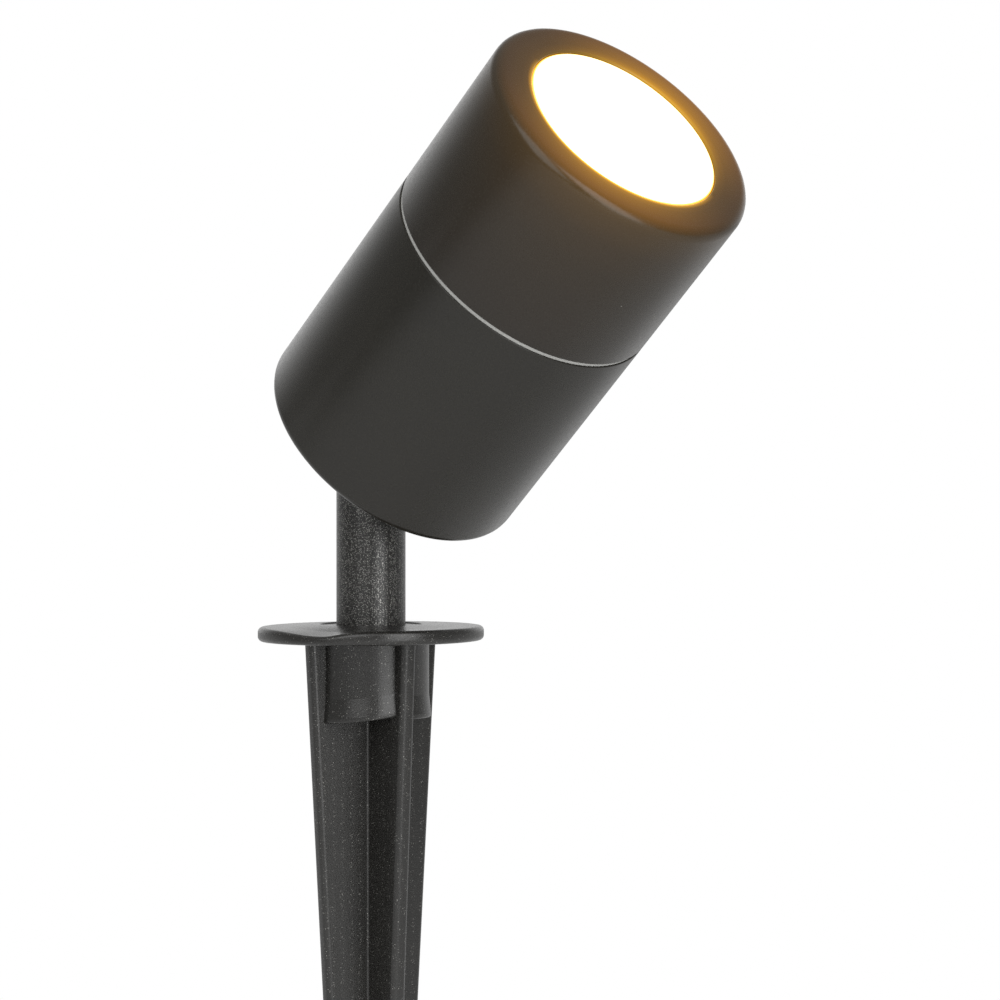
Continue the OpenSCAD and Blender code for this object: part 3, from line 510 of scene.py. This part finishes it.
class SPOT_OT_housing(bpy.types.Operator):
    """Model the rear housing with its threaded spigot and the bosses inside it"""

    bl_idname = "spot.housing"
    bl_label = "Rear housing"

    def execute(self, context):
        wall = 3.0
        shells = [(self.cup(context.scene.spot_shape, wall), True)]
        # Turned bosses of the knuckle's two screws, the bracket's two screws and the earth screw
        for x, y, radius, rise in ((7.2, 0, 3.5, 7), (-7.2, 0, 3.5, 7), (0, 20, 3.5, 12.45),
                                   (0, -20, 3.5, 12.45), (12, -14, 4, 6)):
            outline = rounded([(0, wall / 2, 0), (radius, wall / 2, 0), (radius, rise, 0.3), (0, rise, 0)])
            shells.append((turned(outline, 48) + np.array([x, y, 0]), False))
        finish = coat_finish("powder_coated_casting")
        make("housing_shell", shells, finish, "head", "rear_housing")
        return {"FINISHED"}

    def cup(self, form, wall):
        """Cup of circles round the beam, which rays from the middle of the gland's hole cross.

        With g the hole's distance from the beam, a ray at angle t meets the circle of radius r at the
        distance -g cos t + the root of (r squared - g squared times sin t squared). The last rows are the
        hole's own.
        """
        inner, hole, bevel, throat_low = 27.4, 5.05, 0.3, SEAM_LOW - 6
        # A little deeper than the bezel's thread
        thread_depth = form.thread_depth / MM + 0.05
        thread = [(SPIGOT_R, z, 0) for z in heights(SEAM_LOW + 0.4, SPIGOT_TOP - 0.6)]
        side = rounded([
            (GLAND_OUT, 0, 0), (HEAD_R, 0, form.rear_edge / MM), (HEAD_R, SEAM_LOW, 0.25),
            (SPIGOT_R, SEAM_LOW, 0.1), *thread, (SPIGOT_R, SPIGOT_TOP, SPIGOT_EDGE),
            (THROAT_R, SPIGOT_TOP, 0.3), (THROAT_R, throat_low, 0.2), (inner, throat_low, 0.2),
            (inner, wall, 0.8), (GLAND_OUT, wall, 0)])[1:-1]
        rim = np.linspace(0, 2 * np.pi, 240, endpoint=False)
        ray = np.arctan2(HEAD_R * np.sin(rim), HEAD_R * np.cos(rim) - GLAND_OUT)
        reach = -GLAND_OUT * np.cos(ray) + np.sqrt(side[:, :1] ** 2 - (GLAND_OUT * np.sin(ray)) ** 2)
        mouth = np.array([(hole + bevel, wall), (hole, wall - bevel), (hole, bevel), (hole + bevel, 0.0)])
        reach = np.vstack([reach, np.broadcast_to(mouth[:, :1], (len(mouth), len(ray)))])
        up = np.concatenate([side[:, 1], mouth[:, 1]])[:, None] + 0 * ray
        grid = np.stack([GLAND_OUT + reach * np.cos(ray), reach * np.sin(ray), up], axis=-1)
        # The thread is cut through the spigot's free end, so its height limit lies past it
        return threaded(grid, SPIGOT_R, thread_depth, SEAM_LOW + 1.3, SPIGOT_TOP + 1)


class SPOT_OT_spike(bpy.types.Operator):
    """Model the ground spike: flange, socket, collar and four crossed fins"""

    bl_idname = "spot.spike"
    bl_label = "Ground spike"

    def execute(self, context):
        form = context.scene.spot_shape
        shells = [(self.flange(form), False), (self.fins(form.root_fillet / MM), False)]
        finish = nylon_finish()
        make("spike_moulding", shells, finish, "spike", "ground_spike", in_beam=False)
        return {"FINISHED"}

    def flange(self, form):
        """Flange, socket and collar as one turned outline whose lower rows follow the collar's lip.

        The flange's rim is raised by its warp times the sine of the angle from the photograph's side, and a
        stretch of its top is sunk by a bell of the angle times a ramp of the radius.
        """
        nose, mouth, columns = 1.05, 3.6, 240
        sink_at, sink_before, sink_past = 203, 24, 13
        sink_from_r, sink_ramp = 15, 8.5
        # The lip's rows are drawn this far down at first, out of the other rows' way
        deep = 45.0
        # The top is flat near the rim and rises from there to the socket's mouth
        outline = rounded([
            (0, SOCKET_LOW, 0), (SOCKET_R, SOCKET_LOW, 0.2), (SOCKET_R, mouth, 0.3), (COLLAR_R, mouth, 0.4),
            (15.5, 3.34, 0), (18.1, FLANGE_T, 3), (19.5, FLANGE_T, 0), (21, FLANGE_T, 0),
            (FLANGE_R, FLANGE_T, nose), (FLANGE_R, 0, nose), (COLLAR_R, 0, 0.5), (COLLAR_R, 5 - deep, 0.5),
            (LIP_R, 1 - deep, 0.6), (LIP_R, -deep, 0.35), (0, -deep, 0)])
        grid = turned(outline, columns)
        angle = np.linspace(0, 2 * np.pi, columns, endpoint=False)
        degrees = np.degrees(angle)
        across = np.hypot(grid[..., 0], grid[..., 1])
        low = grid[..., 2] < -deep / 2
        grid[..., 2] = np.where(low, grid[..., 2] + deep + self.lip(degrees, across / LIP_R), grid[..., 2])
        rim = np.clip((across - COLLAR_R) / (FLANGE_R - COLLAR_R), 0, 1)
        upper = np.clip(grid[..., 2] / FLANGE_T, 0, 1)
        bell = np.exp(-((degrees - sink_at) / np.where(degrees < sink_at, sink_before, sink_past)) ** 2)
        sink = form.flange_sink / MM * bell * np.clip((across - sink_from_r) / sink_ramp, 0, 1)
        warp = form.flange_warp / MM * rim * np.sin(angle - math.radians(PHOTO_SIDE))
        grid[..., 2] += np.where(grid[..., 2] > -1, warp - upper * sink, 0)
        return grid

    def lip(self, degrees, share):
        """Height of the collar's lip at angles round it, and at shares of its radius.

        It lies on a slope of 8.4 degrees along a fin in two opposite quarters and is level in the others,
        and ten degrees blend one into the other. Towards the middle it runs evenly to the level height.
        """
        level, slope_middle, tilt = -16.5, -15.52, math.radians(8.4)
        quarter = (degrees - FIN_TURN) % 180
        slope = slope_middle - LIP_R * np.cos(np.radians(quarter)) * math.tan(tilt)
        sloping = np.interp(quarter, [0, 5, 85, 95, 175, 180], [0.5, 1, 1, 0, 0, 0.5])
        height = sloping * slope + (1 - sloping) * level
        return np.where(share < 0.95, height * share + level * (1 - share), height)

    def fins(self, fillet):
        """Cross of four fins, lofted down to a rounded point.

        Each row is a quarter outline turned to four: an arc at a fin's edge, an arc in the root, and the
        edge arc of the next fin. Above the socket's floor the root lies inside the collar's wall instead.
        """
        top, floor, point, tip = 1.55, -14.5, -137, -165
        half_thick, hidden_r = 1.7, 11.85
        z = np.concatenate([[top, floor + 0.01, floor], np.linspace(-20, point, 14),
                            np.linspace(point - 3, tip + 1, 9)])
        reach = np.interp(z, [tip, point, top], [1.9, 8.06, 16.2])[:, None]
        # Half the thickness and both radii shrink with the reach where the point leaves them no room
        half = np.minimum(half_thick, 0.62 * reach)
        edge_r = np.minimum(1.15, 0.45 * (reach - half))
        root_r = np.minimum(fillet, 0.4 * (reach - half))
        turn = np.linspace(0, np.pi / 2, 7)
        edge = np.stack([reach - edge_r + edge_r * np.cos(turn), half - edge_r + edge_r * np.sin(turn)],
                        axis=-1)
        root = np.stack([half + root_r - root_r * np.sin(turn), half + root_r - root_r * np.cos(turn)],
                        axis=-1)
        start = np.arcsin(half / hidden_r)
        around = start + (np.pi / 2 - 2 * start) * turn / turn[-1]
        inside = hidden_r * np.stack([np.cos(around), np.sin(around)], axis=-1)
        root = np.where((z > floor)[:, None, None], inside, root)
        quarter = np.concatenate([edge, root, edge[:, ::-1, ::-1]], axis=1)
        turns = [quarter]
        for _ in range(3):
            turns.append(np.stack([-turns[-1][..., 1], turns[-1][..., 0]], axis=-1))
        cross = np.concatenate(turns, axis=1)
        # The point's last millimetre is a quarter of an ellipse down to the tip
        last = np.linspace(0, 1, 6)[1:]
        ends = cross[-1] * np.sqrt(1 - last ** 2)[:, None, None]
        lift = np.concatenate([z, z[-1] - last])
        flat = np.concatenate([cross, ends])
        # Hidden rows that close the fins inside the flange, the collar's wall and the socket's floor
        angle = np.arctan2(cross[0, :, 1], cross[0, :, 0])
        ring = hidden_r * np.stack([np.cos(angle), np.sin(angle)], axis=-1)
        flat = np.concatenate([[0 * ring, ring, ring], flat])
        lift = np.concatenate([[floor, floor, top], lift])
        swing = math.radians(FIN_TURN)
        x = flat[..., 0] * math.cos(swing) - flat[..., 1] * math.sin(swing)
        y = flat[..., 0] * math.sin(swing) + flat[..., 1] * math.cos(swing)
        return np.stack([x, y, lift[:, None] + 0 * x], axis=-1)


class SPOT_OT_lens(bpy.types.Operator):
    """Model the lit lens"""

    bl_idname = "spot.lens"
    bl_label = "Lens"

    def execute(self, context):
        # A turned outline: a pane that fills the aperture, on a wider flange behind the bezel's rim
        flange_r, low, step = 25.9, 86.7, 89.7
        outline = rounded([(0, low, 0), (flange_r, low, 0.3), (flange_r, step, 0.3), (LENS_R, step, 0.1),
                           (LENS_R, LENS_FACE, 0.35), (0, LENS_FACE, 0)])
        make("lens_pane", [(turned(outline), False)], glass_finish(context.scene.spot_finish.lit), "lens",
             "lens_glass")
        return {"FINISHED"}


class SPOT_OT_gland(bpy.types.Operator):
    """Model the gland's cap with its grip ribs"""

    bl_idname = "spot.gland"
    bl_label = "Gland cap"

    def execute(self, context):
        ribs = context.scene.spot_shape.grip_ribs
        cap_r, low, mouth, end, bore, inner = 6.0, -3.1, -10.1, -12.1, 3.2, 4.8
        groove_depth, groove_fade = 0.4, 0.8
        grip = [(cap_r, z, 0) for z in heights(low - 0.4, mouth + 0.4, 0.3)]
        outline = rounded([(cap_r, low, 0.2), *grip, (cap_r, mouth, 0.3), (cap_r - 2, end, 0.3),
                           (bore, end, 0.15), (bore, mouth, 0.1), (inner, mouth, 0.1), (inner, low, 0.1)])
        grid = turned(outline, ribs * 12)
        across = np.hypot(grid[..., 0], grid[..., 1])
        angle = np.arctan2(grid[..., 1], grid[..., 0])
        # Grooves between the ribs: 1.6 times the cosine of ribs times the angle, cut off at 0 and 1, and
        # faded towards both ends of the grip
        fade = (np.clip((low - 0.6 - grid[..., 2]) / groove_fade, 0, 1)
                * np.clip((grid[..., 2] - mouth - 0.4) / groove_fade, 0, 1))
        groove = np.clip(1.6 * np.cos(ribs * angle), 0, 1)
        scale = np.where(across > cap_r - 0.01, 1 - groove_depth * fade * groove / cap_r, 1)
        grid = grid * np.stack([scale, scale, np.ones_like(scale)], axis=-1) + np.array([GLAND_OUT, 0, 0])
        finish = gland_finish("moulded_cap_nylon")
        make("gland_cap_ribbed", [(grid, True)], finish, "head", "gland_cap")
        return {"FINISHED"}


def dress(materials):
    """Gives each carried-over node its material."""
    for node, material in materials.items():
        mesh = frame["nodes"][node].data
        mesh.materials.clear()
        mesh.materials.append(material)


class SPOT_OT_finish(bpy.types.Operator):
    """Give every carried-over piece its material"""

    bl_idname = "spot.finish"
    bl_label = "Finishes"

    def execute(self, context):
        coat = coat_finish("powder_coated_ring")
        casting = casting_finish()
        # Moulded silicone: a soft light grey without shine
        seam = surface("silicone_seam", tuple(context.scene.spot_finish.seam), 0.6)
        # Moulded nitrile rubber: flat black that hardly shines
        rubber = surface("black_rubber", linear("#1f1f1f"), 0.7)
        gland = gland_finish("moulded_gland_nylon")
        # Zinc-plated steel: cool silver with a soft, slightly cloudy shine
        steel = surface("zinc_plated_steel", linear("#b9bcc0"), 0.3, metallic=1.0, patch=4)
        # Stamped brass: warm yellow metal with faint darker patches
        brass = surface("stamped_brass", linear("#c9a454"), 0.28, metallic=1.0, patch=4)
        # Pressed and fired steatite: chalky cream
        ceramic = surface("unglazed_steatite", linear("#ece8df"), 0.6)
        # Moulded polycarbonate: clean white with a light sheen
        white = surface("white_moulded_plastic", linear("#f2f1ec"), 0.4)
        # Moulded opal acrylic: warm white and smooth
        opal = surface("opal_diffuser", linear("#fffdf4"), 0.35)
        # Solder mask, cured on glass epoxy board: green with a satin skin
        green = surface("solder_mask_green", linear("#2d6b45"), 0.35)
        # Phosphor in cured silicone on the chips: matt yellow
        phosphor = surface("chip_phosphor", linear("#f6dc74"), 0.5)
        # Moulded epoxy of the driver's parts: matt black
        black = surface("moulded_epoxy", linear("#1c1c1c"), 0.5)
        # Extruded insulation of the leads: even colours with a dull sheen
        brown = surface("brown_insulation", linear("#7a4a2a"), 0.5)
        blue = surface("blue_insulation", linear("#2f5f9e"), 0.5)
        red = surface("red_insulation", linear("#b03028"), 0.5)
        dress({
            "stem": casting, "foot_rings": rubber, "hinge_bolt": steel, "hinge_nut": steel,
            "hinge_washers": steel, "knuckle": casting, "knuckle_screws": steel,
            "body_gasket": seam, "gland_body": gland, "gland_locknut": gland, "gland_seal": rubber,
            "holder_bracket": steel, "bracket_screws": steel, "lamp_holder": ceramic,
            "holder_contacts": brass, "holder_screws": steel, "terminal_block": white,
            "terminal_sleeves": brass, "terminal_screws": steel, "live_lead": brown, "neutral_lead": blue,
            "earth_tag": brass, "earth_screw": steel, "lamp_shell": white, "lamp_pins": brass,
            "lamp_cover": opal, "led_board": white, "led_chips": phosphor, "driver_board": green,
            "driver_parts": black, "driver_leads": red, "lens_gasket": rubber, "keeper_ring": coat,
        })
        return {"FINISHED"}


def photo_camera(scene):
    """Level camera where a fit to the photograph's outline, seam and lens puts it."""
    ahead_x, ahead_y = 0.6811, 0.7322
    view = bpy.data.cameras.new("camera")
    view.lens = 122.94
    view.sensor_width = 36
    view.shift_y = -0.04
    view.clip_start = 0.01
    camera = bpy.data.objects.new("camera", view)
    scene.collection.objects.link(camera)
    camera.location = (-0.4840, -0.5614, 0.0391)
    camera.rotation_euler = (math.pi / 2, 0, math.atan2(-ahead_x, ahead_y))
    scene.camera = camera


def plainly_seen(tree, rays):
    """1 for a ray from the camera or through glass, which sees the white background as it is, else 0."""
    return put(tree, "ShaderNodeMath", {0: rays["Is Camera Ray"], 1: rays["Is Transmission Ray"]},
               operation="MAXIMUM").outputs[0]


def floor_finish():
    """Matt paper near the light, which keeps its shadow, and plain white further off.

    Gloss sees some of that white too, on the far side of the light from the photograph's camera.
    """
    paper_r, white_r, mirror_reach, mirror_share = 0.2, 0.5, 0.3, 0.38
    material, tree = blank("studio_floor")
    rays = put(tree, "ShaderNodeLightPath").outputs
    place = put(tree, "ShaderNodeTexCoord").outputs["Object"]
    tone = put(tree, "ShaderNodeTexNoise", {"Vector": place, "Scale": per(40)}).outputs["Fac"]
    pale = put(tree, "ShaderNodeValToRGB", {"Fac": tone},
               stops=[(0.0, linear("#ececec")), (1.0, linear("#f0f0f0"))]).outputs[0]
    paper = put(tree, "ShaderNodeBsdfDiffuse", {"Color": pale}).outputs[0]
    distance = put(tree, "ShaderNodeVectorMath", {0: place}, operation="LENGTH").outputs["Value"]
    share = put(tree, "ShaderNodeMapRange", {"Value": distance, "From Min": paper_r, "From Max": white_r},
                interpolation_type="SMOOTHSTEP").outputs[0]
    behind = put(tree, "ShaderNodeVectorMath", {0: place, 1: AWAY}, operation="DOT_PRODUCT"
                 ).outputs["Value"]
    mirrored = put(tree, "ShaderNodeMapRange", {"Value": behind, "From Min": 0.0, "From Max": mirror_reach}
                   ).outputs[0]
    mirrored = put(tree, "ShaderNodeMath", {0: mirrored, 1: rays["Is Glossy Ray"]}, operation="MULTIPLY"
                   ).outputs[0]
    mirrored = put(tree, "ShaderNodeMath", {0: mirrored, 1: mirror_share}, operation="MULTIPLY").outputs[0]
    shown = put(tree, "ShaderNodeMath", {0: plainly_seen(tree, rays), 1: mirrored}, operation="MAXIMUM"
                ).outputs[0]
    shown = put(tree, "ShaderNodeMath", {0: share, 1: shown}, operation="MULTIPLY").outputs[0]
    white = put(tree, "ShaderNodeEmission", {"Color": (1, 1, 1, 1), "Strength": 1.0}).outputs[0]
    mixed = put(tree, "ShaderNodeMixShader", {0: shown, 1: paper, 2: white}).outputs[0]
    put(tree, "ShaderNodeOutputMaterial", {"Surface": mixed})
    return material


def studio_floor(scene):
    """Wide level floor, a little below the spike's tip."""
    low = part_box("ground_spike")[0].z - scene.spot_studio.drop
    half = 40.0
    corners = [(-half, -half, low), (half, -half, low), (half, half, low), (-half, half, low)]
    mesh = bpy.data.meshes.new("floor")
    mesh.from_pydata(corners, [], [(0, 1, 2, 3)])
    mesh.materials.append(floor_finish())
    floor = bpy.data.objects.new("floor", mesh)
    scene.collection.objects.link(floor)


def white_room(scene):
    """White room for the camera, and a dim light on the object.

    Gloss sees dim walls, a ceiling that fades in with the height of the ray, and a white backdrop low
    behind the light. The backdrop is a ramp of how far the ray leads away from the camera, times a ramp of
    its height.
    """
    studio = scene.spot_studio
    world = bpy.data.worlds.new("white_room")
    scene.world = world
    world.use_nodes = True
    tree = world.node_tree
    tree.nodes.clear()
    rays = put(tree, "ShaderNodeLightPath").outputs
    toward = put(tree, "ShaderNodeTexCoord").outputs["Generated"]
    behind = put(tree, "ShaderNodeVectorMath", {0: toward, 1: AWAY}, operation="DOT_PRODUCT"
                 ).outputs["Value"]
    behind = put(tree, "ShaderNodeMapRange", {"Value": behind, "From Min": 0.35, "From Max": 1.0},
                 interpolation_type="SMOOTHSTEP").outputs[0]
    height = put(tree, "ShaderNodeSeparateXYZ", {0: toward}).outputs[2]
    low_down = put(tree, "ShaderNodeMapRange", {"Value": height, "From Min": 0.3, "From Max": 0.7,
                                                "To Min": 1.0, "To Max": 0.0},
                   interpolation_type="SMOOTHSTEP").outputs[0]
    backdrop = put(tree, "ShaderNodeMath", {0: behind, 1: low_down}, operation="MULTIPLY").outputs[0]
    gloss = put(tree, "ShaderNodeMapRange", {"Value": backdrop, "To Min": studio.wall, "To Max": 1.0}
                ).outputs[0]
    over = put(tree, "ShaderNodeMapRange", {"Value": height, "From Min": 0.5, "From Max": 0.75,
                                            "To Min": 0.0, "To Max": studio.ceiling},
               interpolation_type="SMOOTHSTEP").outputs[0]
    gloss = put(tree, "ShaderNodeMath", {0: gloss, 1: over}, operation="MAXIMUM").outputs[0]
    strength = put(tree, "ShaderNodeMix", {0: rays["Is Glossy Ray"], 2: studio.room, 3: gloss}).outputs[0]
    strength = put(tree, "ShaderNodeMix", {0: plainly_seen(tree, rays), 2: strength, 3: 1.0}).outputs[0]
    white = put(tree, "ShaderNodeBackground", {"Color": (1, 1, 1, 1), "Strength": strength}).outputs[0]
    put(tree, "ShaderNodeOutputWorld", {"Surface": white})


def softboxes(scene):
    """Softboxes to the left and right of the camera and one overhead, all facing the middle of the light.

    Each stands at its azimuth and lift in degrees, at a distance, width and height in metres.
    """
    studio = scene.spot_studio
    middle = Vector((0, -0.02, 0.03))
    for name, azimuth, lift, away, wide, tall, power in (
            ("right_softbox", 261, 17, 1.2, 0.72, 1.15, studio.right),
            ("left_softbox", 203, 28, 1.2, 0.9, 1.0, studio.left),
            ("top_softbox", PHOTO_SIDE, 80, 1.5, 1.2, 1.2, studio.top)):
        light = bpy.data.lights.new(name, "AREA")
        light.shape = "RECTANGLE"
        light.size, light.size_y = wide, tall
        light.energy = power
        lamp = bpy.data.objects.new(name, light)
        scene.collection.objects.link(lamp)
        turn, rise = math.radians(azimuth), math.radians(lift)
        lamp.location = middle + away * Vector((math.cos(turn) * math.cos(rise),
                                                math.sin(turn) * math.cos(rise), math.sin(rise)))
        lamp.rotation_euler = (middle - lamp.location).to_track_quat("-Z", "Y").to_euler()
        lamp.visible_camera = False
        lamp.visible_glossy = name != "top_softbox"


class SPOT_OT_stage(bpy.types.Operator):
    """Set up the camera, the floor, the white room and the lamps"""

    bl_idname = "spot.stage"
    bl_label = "Studio"

    def execute(self, context):
        scene = context.scene
        scene.view_settings.view_transform = "Standard"
        photo_camera(scene)
        studio_floor(scene)
        white_room(scene)
        softboxes(scene)
        return {"FINISHED"}


class SPOT_PT_panel(bpy.types.Panel):
    """Buttons and settings of the garden spotlight"""

    bl_label = "Garden spotlight"
    bl_idname = "SPOT_PT_panel"
    bl_space_type = "VIEW_3D"
    bl_region_type = "UI"
    bl_category = "Spotlight"

    def draw(self, context):
        for group in (context.scene.spot_shape, context.scene.spot_finish, context.scene.spot_studio):
            for name in group.__annotations__:
                self.layout.prop(group, name)
        for step in STEPS:
            self.layout.operator(step.bl_idname)


STEPS = (SPOT_OT_bezel, SPOT_OT_housing, SPOT_OT_spike, SPOT_OT_lens, SPOT_OT_gland, SPOT_OT_finish,
         SPOT_OT_stage)
GROUPS = {"spot_shape": SpotShape, "spot_finish": SpotFinish, "spot_studio": SpotStudio}


def register():
    """Registers the settings, the operators and the panel."""
    for group in GROUPS.values():
        bpy.utils.register_class(group)
    for step in (*STEPS, SPOT_PT_panel):
        bpy.utils.register_class(step)
    for name, group in GROUPS.items():
        setattr(bpy.types.Scene, name, PointerProperty(type=group))


def unregister():
    """Takes away what register added, in reverse."""
    for name in GROUPS:
        delattr(bpy.types.Scene, name)
    for kind in (SPOT_PT_panel, *reversed(STEPS), *GROUPS.values()):
        bpy.utils.unregister_class(kind)


def main():
    """Builds every piece and the studio."""
    register()
    for step in STEPS:
        group, name = step.bl_idname.split(".")
        getattr(getattr(bpy.ops, group), name)()


if __name__ == "__main__":
    main()
